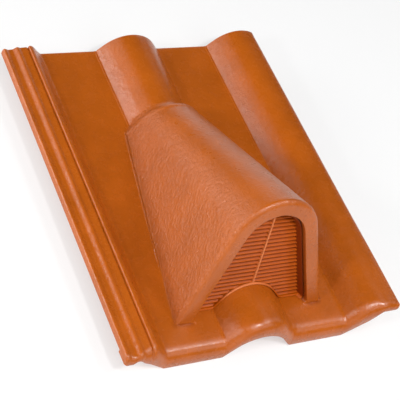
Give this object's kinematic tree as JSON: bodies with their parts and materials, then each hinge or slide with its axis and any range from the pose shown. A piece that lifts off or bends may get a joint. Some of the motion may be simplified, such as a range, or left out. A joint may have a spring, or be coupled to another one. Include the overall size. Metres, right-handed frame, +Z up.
{
  "type": "roof vent tile",
  "caption": "Interlocking concrete roof tile with rolls, a lock along one edge and a half-cone vent hood whose mouth holds a slatted grille.",
  "frame": {"origin": "middle of the bounding box in plan, on the plane that the front skirt and the nibs stand on", "axes": "+Y up the roof slope from the eave end to the head end, +X across the roof from the lock to the cover roll, +Z up out of the pans"},
  "size_m": [0.332, 0.42, 0.1627],
  "materials": {
    "coated_concrete": "satin coating over cast concrete",
    "moulded_plastic": "moulded, slightly satin"
  },
  "bodies": {
    "root": {"vent_tile": "coated_concrete", "vent_grille": "moulded_plastic"}
  },
  "joints": []
}
